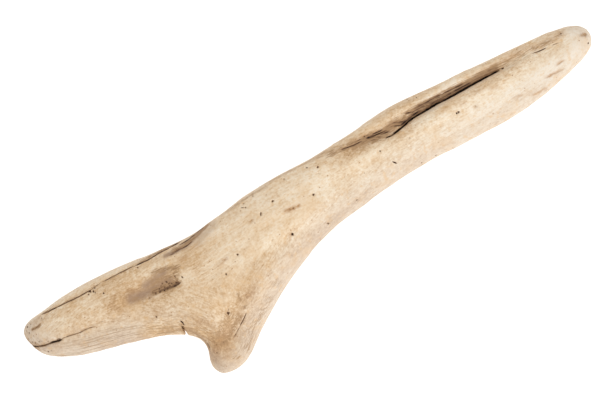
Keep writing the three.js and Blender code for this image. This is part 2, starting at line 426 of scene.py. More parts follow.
EDGES = [  # places on the outline, how far out it goes there beyond the rest, and its reach
    ([(-50, 7), (-48.5, 9), (-45, 9.8), (-41.5, 10)], -0.9, 7),
    ([(-25, 9.3), (-19, 9.1), (-14, 10), (-9, 10.6)], -1.3, 8),
    ([(-4, 11), (2, 11.2), (6, 11.4)], -0.5, 7),
    ([(25, 12.2), (33, 12), (41, 11.6)], 0.4, 7),
    ([(-50, 6), (-48.3, 3.2), (-45, 1.2)], 0.5, 7),
    ([(-38, -0.8), (-32, -2.4), (-27, -4.4), (-25.5, -6)], 0.6, 6),
    ([(-26, -8), (-25.8, -11), (-23, -12.6)], 0.6, 8),
    ([(-5, -2.4), (-1, -0.8)], -0.5, 7),
    ([(1, 0), (5, 0.8), (9, 1.4)], 0.5, 7),
    ([(17, 2.1), (20, 2.1), (24, 2.2)], -0.6, 7),
    ([(27, 2.4), (34, 2.8), (41, 3.9), (48, 5.8)], 0.9, 7),
]
OUTWARD = 0.8  # mm, what the smoothing took off the outline
print(f"{len(FORMS)} large forms, and {len(EDGES)} places where the outline is moved")

# %% Press the large forms
EVERY_WAY_BUT_UP = [1, 1, 0]
MOSTLY_UP = [0.35, 0.35, 1]  # the rises and dips leave the outline nearly alone

points = points_of(wood)
normals = normals_of(wood)
outward = sum(groove(points, places, out, reach, reach, ends=22) for places, out, reach in EDGES)
points = points + normals * EVERY_WAY_BUT_UP * (outward + OUTWARD * MM)[:, None]
facing_up = smooth_step(normals[:, 2], -0.1, 0.35)
pressed = sum(groove(points, *form, ends=20) for form in FORMS) * facing_up
fields = fibre_fields(points)
swell = 0.45 * fibre_ripple(fields, 130, 13, seed=1) + 0.3 * fibre_ripple(fields, 70, 6.5, seed=2)
wander = 0.7 * ripple(points / (45 * MM), seed=3)
move_points(wood, points + normals * MOSTLY_UP * ((swell + wander) * MM - pressed)[:, None])
print(f"the deepest form is {pressed.max() / MM:.1f} mm")

# %% [markdown]
# ## Splits, seams and holes
#
# Small marks need small faces. Faces near a mark are selected and divided twice, and the rest
# of the skin is left alone, which keeps the whole piece light. Boolean cuts would give crisper
# edges, but a split in worn wood has rounded lips, which pressing gives of itself.
#
# The upper side comes first: the long split with its hooked end and torn start, the seam on the
# thick end, and the short lines that opened wherever the wood dried.

# %% The long split
SPLIT_HOOK = [(13.8, 8.7), (14.5, 8.58), (15.3, 8.5), (16.1, 8.6), (16.9, 8.8), (18, 9.08)]
SPLIT_ARM = [(19.1, 9.33), (22, 9.49), (26.3, 9.63), (31.6, 9.75), (35.6, 9.8)]
MARKS = [  # places, depth, reach to the far side, reach to the near side, darkness
    ([*SPLIT_HOOK[2:], *SPLIT_ARM], 4.0, 0.8, 0.5, 1.25),
    (SPLIT_HOOK[:5], 2.4, 0.5, 0.45, 1.05),
    ([(14.9, 8.48), (15.9, 8.58), (16.9, 8.82)], 3.0, 0.85, 0.6, 1.15),
    ([(21, 9.55), (24, 9.68), (28.5, 9.8), (32, 9.85)], 2.0, 1.1, 0.5, 0.85),
    ([(35.2, 9.85), (35.9, 9.9)], 1.4, 0.7, 0.6, 0.75),
    ([(40.2, 9.85), (41.6, 9.65), (43.3, 9.53)], 0.8, 0.42, 0.38, 0.85),
    ([(43.4, 9.5), (44.4, 9.42), (45.6, 9.3)], 0.5, 0.4, 0.35, 0.4),
]
print(f"{len(MARKS)} marks make the long split")

# %% The torn wood before the split
MARKS += [
    ([(6.8, 10.25), (8.8, 9.98), (9.6, 9.9), (10.5, 9.89), (11.2, 9.74)], 1.0, 0.5, 0.45, 0.62),
    ([(11.2, 9.95), (12.2, 9.8), (13.6, 9.77), (15.3, 9.67)], 1.4, 0.6, 0.5, 0.78),
    ([(11.3, 9.96), (12.2, 9.9), (13.2, 9.75)], 1.5, 1.0, 0.8, 1.1),
    ([(12.6, 9.7), (13.4, 9.3), (14.3, 9.1)], 0.8, 0.45, 0.45, 0.5),
    ([(11.3, 9.5), (12.4, 9.3), (13.6, 9.05)], 0.6, 0.4, 0.4, 0.35),
    ([(10.8, 10.7), (11.6, 10.4), (12.8, 10.3)], 0.6, 0.4, 0.4, 0.35),
    ([(11.5, 10.6), (11.4, 10.2)], 0.8, 0.5, 0.5, 0.6),
    ([(18.5, 10.66), (19.3, 10.45), (20.1, 10.22)], 0.9, 0.55, 0.55, 0.75),
    ([(15.9, 10.3), (17.1, 9.95), (18.5, 9.5)], 0.9, 0.5, 0.45, 0.82),
    ([(15.8, 9.88), (16.8, 9.5), (17.8, 9.14)], 0.9, 0.5, 0.45, 0.82),
    ([(12.2, 10.2), (13.6, 10.08), (15, 10.15)], 0.8, 0.6, 0.6, 0.7),
    ([(13.2, 9.52), (14.6, 9.4), (16, 9.15)], 0.8, 0.6, 0.6, 0.7),
    ([(9.2, 10.3), (10.4, 10.25), (11.2, 10.35)], 0.6, 0.5, 0.4, 0.4),
    ([(16.8, 9.2), (18, 9.5), (19.6, 9.75), (21.5, 9.95)], 1.2, 0.8, 0.7, 0.8),
    ([(22, 9.95), (25, 10.1), (28, 10.2), (31, 10.2)], 0.9, 0.6, 0.6, 0.7),
    ([(18.5, 10.1), (21, 10.3), (24, 10.4), (26, 10.45)], 0.6, 0.5, 0.4, 0.4),
    ([(20.5, 10.6), (23.2, 10.62), (26.8, 10.65), (29.5, 10.55)], 0.8, 0.7, 0.5, 0.6),
    ([(21, 10.2), (24, 10.2), (27, 10.3), (31, 10.3)], 0.6, 0.5, 0.5, 0.4),
]
print(f"{len(MARKS)} with the torn wood")

# %% The thick end
MARKS += [
    # The seam along it, and the dark band where the seam runs out over the edge.
    ([(-46.6, 9), (-44.5, 8.88), (-42, 8.83), (-39.3, 8.83), (-36.8, 8.88)], 1.0, 0.5, 0.42, 0.68),
    ([(-38.2, 8.86), (-35, 9.12), (-32, 9.14), (-28.8, 8.95)], 0.7, 0.5, 0.42, 0.4),
    ([(-30, 9), (-27.1, 8.84), (-25.2, 8.98), (-23.4, 8.97), (-21, 9.05)], 0.9, 0.55, 0.45, 0.7),
    ([(-23.9, 8.15), (-22.5, 8.05), (-20.6, 8.05), (-19.3, 8.4)], 0.8, 0.55, 0.5, 0.62),
    ([(-22.6, 8.7), (-20.6, 8.7), (-18.6, 9.1), (-16.6, 9.6)], 0.7, 0.5, 0.5, 0.6),
    ([(-24.6, 8.0), (-23, 7.9), (-21.6, 8)], 0.6, 0.5, 0.5, 0.4),
    # The split at its tip, the lip over it and the thin lines that carry on from it.
    ([(-50.2, 5.9), (-49.2, 5), (-47.7, 4.54), (-46, 4.33), (-44.4, 4.02)], 2.6, 0.45, 0.4, 0.95),
    ([(-47.6, 4.52), (-46.4, 4.4), (-45.2, 4.14), (-44.6, 4.04)], 3.0, 0.75, 0.6, 1.15),
    ([(-47.2, 4.9), (-46.6, 4.72)], 0.7, 0.5, 0.4, 0.5),
    ([(-45.7, 4.56), (-44.8, 4.22)], 0.9, 0.5, 0.4, 0.7),
    ([(-45.4, 4.3), (-43.3, 4), (-41.7, 3.77), (-40.2, 3.72), (-39.1, 3.42)], 0.7, 0.42, 0.38, 0.46),
    ([(-39.7, 4.1), (-38.6, 3.82), (-37, 3.5)], 0.5, 0.45, 0.4, 0.3),
    ([(-48.7, 4.68), (-48.4, 4.05), (-47.8, 3.5)], 0.6, 0.4, 0.4, 0.4),
    ([(-48.4, 7.6), (-46.9, 7.7)], 1.0, 0.9, 0.8, 0.2),
    ([(-49, 7.6), (-49.2, 7.1)], 0.8, 0.5, 0.5, 0.45),
    # The rough floor of the scoop.
    ([(-28.4, 3.78), (-27, 3.62), (-25.4, 3.4), (-23.9, 3.5)], 1.1, 1.5, 0.7, 0.5),
    ([(-26.2, 3.5), (-25, 3.36), (-23.8, 3.55)], 1.5, 1.25, 0.9, 0.72),
    ([(-26.4, 4.05), (-25.8, 4.17), (-25.3, 3.95)], 0.8, 0.5, 0.5, 0.6),
    ([(-25, 3.6), (-24.3, 3.5)], 1.0, 0.9, 0.8, 0.7),
    ([(-26, 6.5), (-25.3, 6.5), (-25, 5.95)], 0.7, 0.6, 0.6, 0.4),
    ([(-24.8, 5.0), (-24.6, 4.6), (-24.9, 4.35)], 0.9, 0.6, 0.6, 0.55),
]
print(f"{len(MARKS)} with the thick end")

# %% The crotch, the stub and the arm
MARKS += [
    # The crotch and the stub.
    ([(-27.15, -1.6), (-26.95, -2.15), (-26.9, -2.9)], 1.7, 0.5, 0.42, 1.25),
    ([(-17.1, -4.9), (-17.6, -5.5), (-18.8, -6.45), (-20.6, -7.73), (-21.8, -8)], 0.9, 0.5, 0.45, 0.46),
    ([(-18.4, -5.2), (-18.7, -6.1)], 0.6, 0.4, 0.4, 0.35),
    ([(-20.6, -6.7), (-20.9, -7.4)], 0.6, 0.4, 0.4, 0.35),
    ([(-25.3, -6.4), (-25.2, -7.4), (-25.4, -8.6)], 0.6, 0.8, 0.8, 0.45),
    # Short lines along the body and the long arm.
    ([(-8.15, 7.5), (-8.5, 6.7)], 1.3, 0.65, 0.65, 0.9),
    ([(-10.9, 9.5), (-10, 9.1)], 0.7, 0.5, 0.5, 0.45),
    ([(1, 10.35), (1.5, 10)], 0.7, 0.5, 0.5, 0.5),
    ([(2, 8.8), (2.8, 8.4)], 0.5, 0.4, 0.4, 0.3),
    ([(-19.8, -4.1), (-19.5, -3.5), (-19.2, -3.3)], 0.6, 0.4, 0.4, 0.4),
    ([(5.5, 2.25), (6.2, 2.05)], 0.7, 0.45, 0.45, 0.5),
    ([(13.35, 5.05), (14.05, 4.15)], 1.2, 0.5, 0.42, 1.0),
    ([(40.1, 5.38), (41.8, 5.48), (44.2, 5.33)], 0.5, 0.5, 0.4, 0.08),
    ([(42.6, 6.4), (43.9, 6.45), (44.8, 6.5)], 0.5, 0.5, 0.4, 0.1),
    ([(38.1, 4.1), (39.9, 3.9)], 0.4, 0.5, 0.4, 0.05),
]
print(f"{len(MARKS)} marks on the upper side")

# %% Worm holes and pits on the upper side
HOLES = [  # place, radius and depth in millimetres, darkness
    (-5.45, 2.1, 0.8, 2.0, 0.95), (-5.8, 8.0, 0.75, 1.5, 0.85), (0.2, 6.0, 0.75, 1.5, 0.85),
    (-14.4, 3.2, 0.8, 1.3, 0.6), (-10.0, 9.1, 0.6, 1.0, 0.6), (-10.0, 9.7, 0.6, 0.8, 0.4),
    (-4.1, 5.75, 0.8, 0.9, 0.3), (-3.5, 5.62, 0.6, 0.8, 0.45), (-2.66, 5.55, 0.6, 0.6, 0.2),
    (-10.1, 6.9, 0.8, 0.6, 0.16), (-8.2, 4.9, 0.6, 0.6, 0.3), (-8.2, 10.1, 0.7, 0.6, 0.35),
    (-2.7, 10.2, 0.8, 0.8, 0.45), (2.8, 9.5, 0.75, 1.2, 0.7), (0.2, 1.0, 0.8, 0.9, 0.5),
    (-8.6, 2.8, 0.5, 0.6, 0.4), (-5.7, 0.2, 0.5, 0.6, 0.3), (-1.1, 8.6, 0.6, 0.5, 0.25),
    (-19.9, -4.2, 0.95, 1.5, 0.75), (-17.2, -4.4, 1.1, 0.6, 0.3), (-16.5, 3.4, 0.8, 0.7, 0.2),
    (-17.3, 1.3, 0.7, 0.9, 0.5), (12.5, 7.2, 0.75, 0.9, 0.55), (17.5, 6.9, 0.7, 0.7, 0.35),
    (17.5, 2.6, 0.6, 0.9, 0.45), (25.8, 6.95, 0.75, 1.3, 0.85), (26.1, 7.04, 0.6, 1.0, 0.75),
    (28.9, 6.6, 0.7, 0.6, 0.35), (33.0, 3.6, 0.6, 0.5, 0.3), (46.0, 10.4, 0.6, 0.8, 0.5),
    (49.1, 8.6, 1.5, 0.9, 0.15), (49.1, 7.2, 0.7, 0.9, 0.5), (5.7, 6.3, 0.5, 0.5, 0.25),
    (21.5, 12.0, 0.6, 0.6, 0.35), (-35.8, 7.5, 0.6, 1.2, 0.62), (-37.6, 8.75, 0.9, 1.1, 0.9),
    (-37.1, 8.45, 0.75, 0.9, 0.8), (-36.7, 8.8, 0.6, 0.7, 0.7), (-38.0, 8.4, 0.6, 0.7, 0.65),
    (-36.9, 8.15, 0.5, 0.6, 0.55), (-30.1, 0.4, 0.65, 1.0, 0.6), (-23.6, 4.05, 0.6, 1.0, 0.65),
    (-29.2, 8.57, 0.7, 0.8, 0.5), (-47.8, 3.45, 0.55, 0.8, 0.55), (-26.9, 4.6, 0.7, 0.8, 0.5),
    (-27.3, 4.35, 0.6, 0.7, 0.45), (-46.3, 8.4, 0.6, 0.7, 0.4), (-45.6, 8.4, 0.5, 0.6, 0.35),
    (-24.6, -8.9, 0.6, 0.7, 0.45), (-24.0, -7.7, 0.6, 0.7, 0.45), (-22.9, -7.9, 0.5, 0.6, 0.4),
    (-29.7, 3.55, 0.6, 0.7, 0.4), (35.7, 5.0, 0.9, 0.4, 0.2),
    (-28.5, 3.7, 0.6, 0.9, 0.5), (-27.8, 3.6, 0.8, 1.1, 0.85), (-27.1, 3.5, 0.7, 1.2, 0.9),
    (-26.5, 3.55, 0.8, 1.2, 0.85), (-26.0, 3.75, 0.6, 1.0, 0.8), (-26.9, 3.95, 0.6, 0.9, 0.7),
    (-27.7, 4.05, 0.6, 0.8, 0.75), (-25.6, 3.95, 0.6, 0.9, 0.7), (-24.9, 3.65, 0.7, 1.0, 0.85),
    (-28.9, 4.1, 0.6, 0.8, 0.35), (-26.2, 4.45, 0.6, 0.8, 0.75),
    (-49.6, 6.6, 0.5, 0.6, 0.45), (-49.3, 5.9, 0.6, 0.7, 0.5), (-48.9, 5.5, 0.5, 0.6, 0.4),
    (-49.0, 8.3, 0.6, 0.7, 0.5), (-48.3, 8.5, 0.5, 0.6, 0.4), (-49.4, 7.8, 0.5, 0.7, 0.4),
    (-48.2, 5.4, 0.5, 0.6, 0.4), (-47.3, 3.3, 0.5, 0.6, 0.4), (-48.6, 6.6, 0.4, 0.5, 0.35),
]
print(f"{len(HOLES)} holes on the upper side")

# %% [markdown]
# The other faces have marks of the same kinds. Those below are on the plan too; those on the two
# sides are given by how far along its edge a place is, and how high, both in per cent.

# %% Marks and holes on the other faces
MARKS_BELOW = [
    ([(6, 6.2), (13, 6.8), (20, 7.5), (27, 7.9), (34, 8.1)], 3.2, 0.6, 0.6, 1.0),
    ([(33, 8.4), (37, 8.5), (42, 8.3)], 1.0, 0.5, 0.5, 0.6),
    ([(-43, 5.6), (-38, 5.0), (-32, 4.6), (-28, 4.9)], 1.6, 0.5, 0.5, 0.75),
    ([(-40, 3.0), (-35, 2.2), (-31, 1.4)], 0.8, 0.5, 0.4, 0.45),
    ([(-14, 3.4), (-8, 4.2), (-2, 4.6), (3, 5.2)], 1.2, 0.5, 0.5, 0.65),
    ([(-12, 7.4), (-6, 7.8), (1, 8.2)], 0.8, 0.5, 0.5, 0.45),
    ([(-22.6, -9.4), (-21, -6.6), (-18.8, -3.6)], 1.0, 0.5, 0.5, 0.6),
    ([(14, 4.6), (20, 4.9), (26, 5.0)], 0.8, 0.5, 0.4, 0.4),
    ([(44, 7.0), (46.6, 7.4), (48.6, 7.9)], 1.4, 0.5, 0.5, 0.7),
]
HOLES_BELOW = [
    (-19.0, 6.2, 1.3, 2.2, 0.95), (-17.6, 5.4, 0.7, 1.2, 0.7), (-9.6, 1.6, 0.8, 1.2, 0.7),
    (4.4, 8.4, 0.9, 1.5, 0.85), (11.2, 4.2, 0.7, 1.0, 0.6), (23.6, 9.8, 0.8, 1.2, 0.7),
    (-33.8, 7.2, 0.9, 1.4, 0.8), (-25.2, 1.0, 0.7, 1.0, 0.6), (-23.4, -4.8, 0.8, 1.1, 0.7),
    (31.6, 5.6, 0.7, 0.9, 0.5), (-46.4, 6.4, 0.7, 0.9, 0.6), (39.0, 6.6, 0.6, 0.8, 0.5),
]
MARKS_FAR = [
    ([(4, 3.2), (10, 3.6), (17, 3.9)], 1.0, 0.5, 0.5, 0.6),
    ([(28, 4.6), (34, 5.0), (41, 5.2)], 0.8, 0.5, 0.4, 0.45),
    ([(50, 4.4), (57, 4.6), (63, 4.2)], 1.2, 0.5, 0.5, 0.7),
    ([(61, 3.7), (68, 3.6), (77, 3.4)], 0.9, 0.5, 0.5, 0.5),
    ([(84, 3.0), (90, 3.0)], 0.7, 0.4, 0.4, 0.4),
]
HOLES_FAR = [
    (23.5, 4.0, 0.9, 1.3, 0.8), (37.0, 3.4, 0.7, 1.0, 0.6), (46.5, 5.4, 0.8, 1.1, 0.7),
    (71.5, 4.6, 0.7, 1.0, 0.6), (79.0, 4.2, 0.6, 0.8, 0.5),
]
MARKS_NEAR = [
    ([(5, 3.0), (11, 3.4), (18, 3.9)], 1.0, 0.5, 0.5, 0.55),
    ([(58, 3.6), (64, 4.2), (71, 4.6)], 1.0, 0.5, 0.5, 0.6),
    ([(72, 4.0), (80, 4.2), (88, 3.9)], 1.2, 0.5, 0.5, 0.7),
    ([(92, 3.3), (98, 3.1)], 0.7, 0.4, 0.4, 0.45),
]
HOLES_NEAR = [
    (14.0, 2.6, 0.7, 1.0, 0.6), (24.5, 4.2, 0.8, 1.1, 0.65), (56.0, 4.6, 0.7, 1.0, 0.6),
    (67.0, 3.2, 0.9, 1.3, 0.8), (84.5, 4.8, 0.7, 0.9, 0.6),
]
print(f"{len(MARKS_BELOW + MARKS_FAR + MARKS_NEAR)} marks on the other faces")

# %% The four faces


def faces_of(points, normals, fields):
    """The four faces, each as (places on it, share of each point in it, marks, holes)."""
    far, near, share = fields
    up = normals[:, 2]
    upright = smooth_step(1 - np.abs(up), 0.35, 0.6)
    on_far = smooth_step(0.5 - share, 0.1, 0.3) * upright
    on_near = smooth_step(share - 0.5, 0.1, 0.3) * upright
    return [
        (points[:, :2], smooth_step(up, -0.1, 0.25), MARKS, HOLES),
        (points[:, :2], smooth_step(-up, -0.1, 0.25), MARKS_BELOW, HOLES_BELOW),
        (far[:, [0, 2]], on_far, MARKS_FAR, HOLES_FAR),
        (near[:, [0, 2]] - [FIELDS_APART, 0], on_near, MARKS_NEAR, HOLES_NEAR),
    ]


def near_marks(faces, margin):
    """True for the points within a margin, in millimetres, of a mark or a hole."""
    near = np.zeros(len(faces[0][0]), bool)
    for spots, weight, marks, holes in faces:
        close = np.zeros(len(spots), bool)
        for places, *_ in marks:
            line = smooth_line(places)
            boxed = round_line(spots, line, margin * MM)
            close[boxed] |= np.abs(beside(spots[boxed], line)[1]) < margin * MM
        for x, y, radius, *_ in holes:
            gap = np.hypot(spots[:, 0] - x * PER_CENT, spots[:, 1] - y * PER_CENT)
            close |= gap < (radius + 0.6 * margin) * MM
        near |= close & (weight > 0)
    return near


upper_share = faces_of(points, normals, fields)[0][1].mean()
print(f"{upper_share:.0%} of the skin faces up")

# %% [markdown]
# Only the faces near a mark are divided. The wider ring is cut in four first, and then a narrower
# ring inside it once more, so that the faces get smaller step by step towards the mark.

# %% Room for the marks
ROOM_ROUND_MARKS = (2.0, 1.0)  # mm, the rings for the first division and the second
NOTCH = [(-27.25, -3), (-27.55, -4.8)]  # the crack in the crotch, where it runs out over the side
NOTCH_FROM, NOTCH_TO = -5.5 * PER_CENT, -2.4 * PER_CENT  # the stretch across the wood that it takes


def divide_faces(piece, chosen):
    """Cuts the faces that have all their corners among the chosen points in four."""
    mesh = piece.data
    for part in (mesh.polygons, mesh.edges, mesh.vertices):
        part.foreach_set("select", np.zeros(len(part), bool))
    for face in mesh.polygons:
        face.select = bool(chosen[list(face.vertices)].all())
    only(piece)
    bpy.ops.object.mode_set(mode="EDIT")
    bpy.ops.mesh.select_mode(type="FACE")
    bpy.ops.mesh.subdivide(number_cuts=1, smoothness=0)
    bpy.ops.object.mode_set(mode="OBJECT")


for margin in ROOM_ROUND_MARKS:
    points = points_of(wood)
    faces = faces_of(points, normals_of(wood), fibre_fields(points))
    notched = np.abs(beside(points, smooth_line(NOTCH))[1]) < margin * MM
    notched &= (points[:, 1] < NOTCH_TO) & (points[:, 1] > NOTCH_FROM)
    divide_faces(wood, near_marks(faces, margin) | notched)
print(f"with room for the marks there are {len(wood.data.polygons)} faces")

# %% [markdown]
# Marks above are pressed straight down and marks below straight up, so that they read as dark
# gaps, and those on the sides go in square to the skin. Each line wanders a little, because a
# split follows the fibres and not a ruler. The same shapes say where dirt has gathered, and where
# painted shade darkens the deepest splits and holes.

# %% Press the marks
points = points_of(wood)
normals = normals_of(wood)
fields = fibre_fields(points)
wobble = 0.32 * ripple(points / (9 * MM), seed=4) + 0.12 * ripple(points / (2.2 * MM), seed=7)
wobble *= MM
uneven = np.clip(1 + 0.6 * ripple(points / (3.5 * MM), seed=8, detail=2), 0.6, 1.25)
rough_edge = 1 + 0.45 * ripple(points / (0.9 * MM), seed=9)
ragged = 1 + 0.25 * fibre_ripple(fields, 5, 2, seed=5)
faces = faces_of(points, normals, fields)

cuts = []  # how deep each face's marks are at each point, in metres
# dirt in the marks, and painted shade that turns the deepest splits and holes nearly black
dirt_and_shade = np.zeros(len(points))
for spots, weight, marks, holes in faces:
    spots = spots + wobble[:, None] * [0, 1]
    cut = np.zeros(len(points))
    for places, depth, left, right, darkness in marks:
        shape = groove(spots, places, 1 / MM, left, right, sharpness=1.6)
        cut = np.maximum(cut, shape * depth * MM * ragged)
        shape = groove(spots, places, 1 / MM, 0.85 * left, 0.85 * right)
        dirt_and_shade = np.maximum(dirt_and_shade, shape * darkness * weight * uneven)
    for x, y, radius, depth, darkness in holes:
        gap = np.hypot(spots[:, 0] - x * PER_CENT, spots[:, 1] - y * PER_CENT) / (radius * MM)
        gap *= rough_edge
        cut = np.maximum(cut, depth * MM * np.exp(-(gap**4)))
        dirt_and_shade = np.maximum(dirt_and_shade, np.exp(-(gap**3)) * darkness * 0.85 * weight)
    cuts.append(cut * weight)
print(f"the deepest mark is {cuts[0].max() / MM:.1f} mm")

# %% [markdown]
# In the crotch one crack has opened and broken out over the side. It is a V, cut in level from
# the near side. Last, the grain is raised and sunk a little all over, and what would reach below
# the ground is worn flat, because the wood rests there.

# %% The notch, the grain and the worn flats
NOTCH_WIDTH = 1.08 * MM  # half of its mouth
NOTCH_DEPTH = 8.5 * MM
NOTCH_HEIGHTS = (5 * MM, 20 * MM)  # it fades in from the first height to the second

notch_gap = np.abs(beside(points, smooth_line(NOTCH))[1]) / NOTCH_WIDTH
on_side = smooth_step(-normals[:, 1], 0.1, 0.6) * (points[:, 1] > NOTCH_FROM)
on_side *= smooth_step(points[:, 2], *NOTCH_HEIGHTS)
notch_depth = NOTCH_DEPTH * np.clip(1 - notch_gap, 0, 1) * on_side

grain = 0.14 * fibre_ripple(fields, 26, 2.6, seed=6, detail=3)
moved = points + normals * (grain * MM)[:, None]
moved[:, 2] += cuts[1] - cuts[0]
moved -= normals * (cuts[2] + cuts[3])[:, None]
moved[:, 1] += notch_depth
moved[:, 2] = np.maximum(moved[:, 2], cad_low.z)  # the three worn flats that it rests on
move_points(wood, moved)
print(f"the notch goes {notch_depth.max() / MM:.1f} mm in")

# %% [markdown]
# ## What the colours need to know
#
# Colour follows form: dirt stays in splits and holes, with painted shade in their depths, stain
# soaks into the hollows, partly as painted shade, and crests are bleached and painted lighter as
# a painted highlight. The near half has gone silver grey, with a painted sheen on the sides, and
# the far half is still golden. There are rusty freckles, painted shade in the scoop with grey
# smudges, and at the fork the fibres are knotted. Each of these is stored on the points of the
# skin as an attribute, which the material reads by name. A painted picture would do the same, but
# attributes need no unwrapping.

# %% Storing numbers on the skin


def store(piece, name, values):
    """Keeps one number, or one vector, for each point of the piece."""
    kind, field = ("FLOAT_VECTOR", "vector") if values.ndim == 2 else ("FLOAT", "value")
    kept = piece.data.attributes.new(name, kind, "POINT")
    kept.data.foreach_set(field, values.astype(np.float32).ravel())


def patch(points, places, left, right):
    """A soft-edged patch along the places, from 0 to 1, with its reaches in millimetres. It has
    round ends, unless its reaches differ, and then it fades out before them."""
    ends = 0 if left == right else 6
    return groove(points, places, 1 / MM, left, right, ends, sharpness=2.2)


print(f"so far the skin carries {', '.join(wood.data.attributes.keys())}")

# %% Stains and painted shade
STAINS_AND_SHADE = [  # places, reach to the far side, reach to the near side, strength
    # The scoop on the thick end.
    ([(-28, 5.4), (-26, 5), (-24.2, 4.7)], 3.5, 3.5, 0.45),
    ([(-27.4, 6.8), (-26.2, 6.6), (-25, 6.3), (-24.3, 6)], 1.9, 1.9, 0.6),
    ([(-33, 4.9), (-31.6, 4.4), (-30.4, 3.9)], 1.8, 1.6, 0.42),
    ([(-29.8, 3.95), (-27.4, 3.75), (-25.4, 3.6), (-23.6, 3.6)], 3.2, 1.6, 0.95),
    ([(-25, 6.3), (-23.4, 5.6)], 2.0, 2.0, 0.6),
    # The trough over the split: stain with painted shade under the split's lip, darkest at the split,
    # and gone at the crest.
    ([(16.5, 9.2), (19, 9.5), (23, 9.75), (28, 9.9), (33, 9.95), (36, 10)], 4.2, 0.5, 1.0),
    ([(18, 10.3), (21, 10.45), (25, 10.55), (29, 10.6), (33.5, 10.5)], 2.2, 2.6, 0.85),
    ([(32, 10.2), (36.5, 10.6), (39.2, 10.7), (43, 10.3), (47, 10.1)], 2.4, 2.0, 0.34),
    # The torn wood before it.
    ([(4, 10.5), (7, 10.2), (9.6, 9.95), (13, 9.9), (17, 10)], 3.0, 2.0, 0.5),
    ([(9.4, 9.9), (12, 9.85), (14, 9.75), (16, 9.9), (18.5, 10.1)], 3.2, 2.6, 0.82),
    ([(11.4, 9.4), (13, 9.1), (15.4, 8.9)], 2.0, 2.2, 0.6),
    # The band over the far edge, partly painted shade where the edge turns from the light, and the
    # seam.
    ([(-24, 8.2), (-22.6, 8.2), (-20.3, 8.4), (-15.4, 9.7)], 2.2, 1.2, 0.66),
    ([(-30, 9.1), (-25.5, 9.15), (-23, 9.2), (-19, 9.4)], 1.2, 1.1, 0.6),
    ([(-46.6, 9), (-43, 8.85), (-39.5, 8.85), (-36, 9)], 1.2, 0.9, 0.5),
    ([(-36, 9), (-32.3, 9.14), (-27, 8.9), (-23.2, 9.05)], 1.0, 0.8, 0.4),
    # The stub and the crotch, with painted shade on the stub's side turned from the light.
    ([(-17.6, -4.6), (-19.4, -6), (-21.4, -7.3), (-24.4, -8.6)], 2.4, 2.8, 0.5),
    ([(-20, -4.8), (-22, -6.1), (-23.8, -7.4)], 5, 5, 0.36),
    ([(-26, -5.2), (-25.4, -6.6), (-25.6, -8.2)], 1.0, 1.0, 0.5),
    ([(-25, -9.4), (-24.6, -11.2)], 2.4, 2.4, 0.2),
    ([(-17.2, -2.5), (-17.1, -3.3)], 1.8, 1.8, 0.42),
    ([(-17.5, -4.4), (-16.9, -4.4)], 1.6, 1.6, 0.35),
    ([(-27.3, -1.6), (-27.2, -3.8)], 1.1, 0.8, 0.4),
    ([(-31, -2), (-28.5, -2.8), (-26.6, -3.8), (-25.4, -5.4)], 2.4, 2.4, 0.36),
    ([(-22.6, -10.8), (-21.8, -11.1)], 2.0, 2.0, 0.35),
    # The thick end's tip and the thin end's.
    ([(-50.2, 8.4), (-50.4, 7), (-49.7, 5.6), (-48.2, 3.9)], 2.6, 3.2, 0.5),
    ([(-48.3, 7.62), (-47.5, 7.66), (-46.9, 7.72)], 1.15, 1.15, 0.95),
    ([(-49.6, 5.3), (-48.6, 4.8), (-46.4, 4.4)], 1.2, 1.0, 0.55),
    ([(-45, 4.2), (-41.4, 3.8), (-38, 3.5)], 1.2, 1.0, 0.42),
    ([(48.7, 8.8), (49.3, 8.6)], 1.5, 1.5, 0.45),
    # Painted shade along the upper edge of the body.
    ([(-15, 9.8), (-9, 10.2), (-3, 11), (2, 10.9), (7.5, 10.9)], 2, 1.6, 0.3),
]
STAINS_BELOW = [
    ([(-42, 4), (-36, 3.6), (-30, 3.4)], 5, 5, 0.45), ([(-24, -10), (-22, -7.5), (-20, -5)], 4, 4, 0.5),
    ([(18, 7.5), (26, 8.1), (34, 8.3)], 3, 3, 0.7), ([(-18, 6), (-10, 6.6), (-2, 7.4)], 4, 4, 0.4),
    ([(-20.5, 6.4), (-18, 5.8)], 3, 3, 0.8), ([(36, 7), (44, 7.2)], 4, 4, 0.35),
]
print(f"{len(STAINS_AND_SHADE)} stains above and {len(STAINS_BELOW)} below")

# %% Rust
RUSTY = [  # small knots, freckles and streaks that are more orange than the stains
    ([(-4.8, 5.8), (-4.1, 5.75), (-3.3, 5.6)], 1.4, 1.4, 1.0),
    ([(-2.9, 5.55), (-2.4, 5.55)], 0.9, 0.9, 0.8),
    ([(-10.4, 6.8), (-9.8, 6.95)], 1.2, 1.2, 0.6),
    ([(-16.9, 3.4), (-16.1, 3.4)], 1.3, 1.3, 0.6),
    ([(-5.95, 1.95), (-5.6, 2.3)], 0.9, 0.9, 0.7),
    ([(-17.9, 3), (-17, 3.1)], 1.3, 1.3, 0.4),
    ([(-22.6, 6.6), (-21.6, 6.65)], 1.8, 1.8, 0.55),
    ([(-21.6, 7.4), (-19.6, 7.5)], 2.4, 2.4, 0.3),
    ([(42.5, 6.4), (43.9, 6.45), (44.8, 6.5)], 1.0, 0.9, 0.85),
    ([(40, 5.38), (41.8, 5.48), (44.2, 5.33)], 0.9, 0.8, 0.75),
    ([(37.9, 4.1), (40, 3.9)], 0.9, 0.9, 0.55),
    ([(34.7, 5), (36.2, 4.75)], 0.9, 0.9, 0.5),
    ([(29.9, 8.5), (31.1, 8.35)], 1.4, 1.4, 0.4),
    ([(32.1, 8), (33.4, 7.6)], 1.8, 1.8, 0.38),
    ([(27, 7.9), (27.7, 7.8)], 1.2, 1.2, 0.45),
    ([(24.2, 8.6), (25, 8.5)], 1.1, 1.1, 0.36),
    ([(28.6, 6.5), (29.2, 6.3)], 1.2, 1.2, 0.36),
    ([(32, 10.3), (36.5, 10.7), (39.2, 10.8), (43.1, 10.3), (47, 10.3)], 3.2, 2.6, 0.42),
]
print(f"{len(RUSTY)} rusty marks")
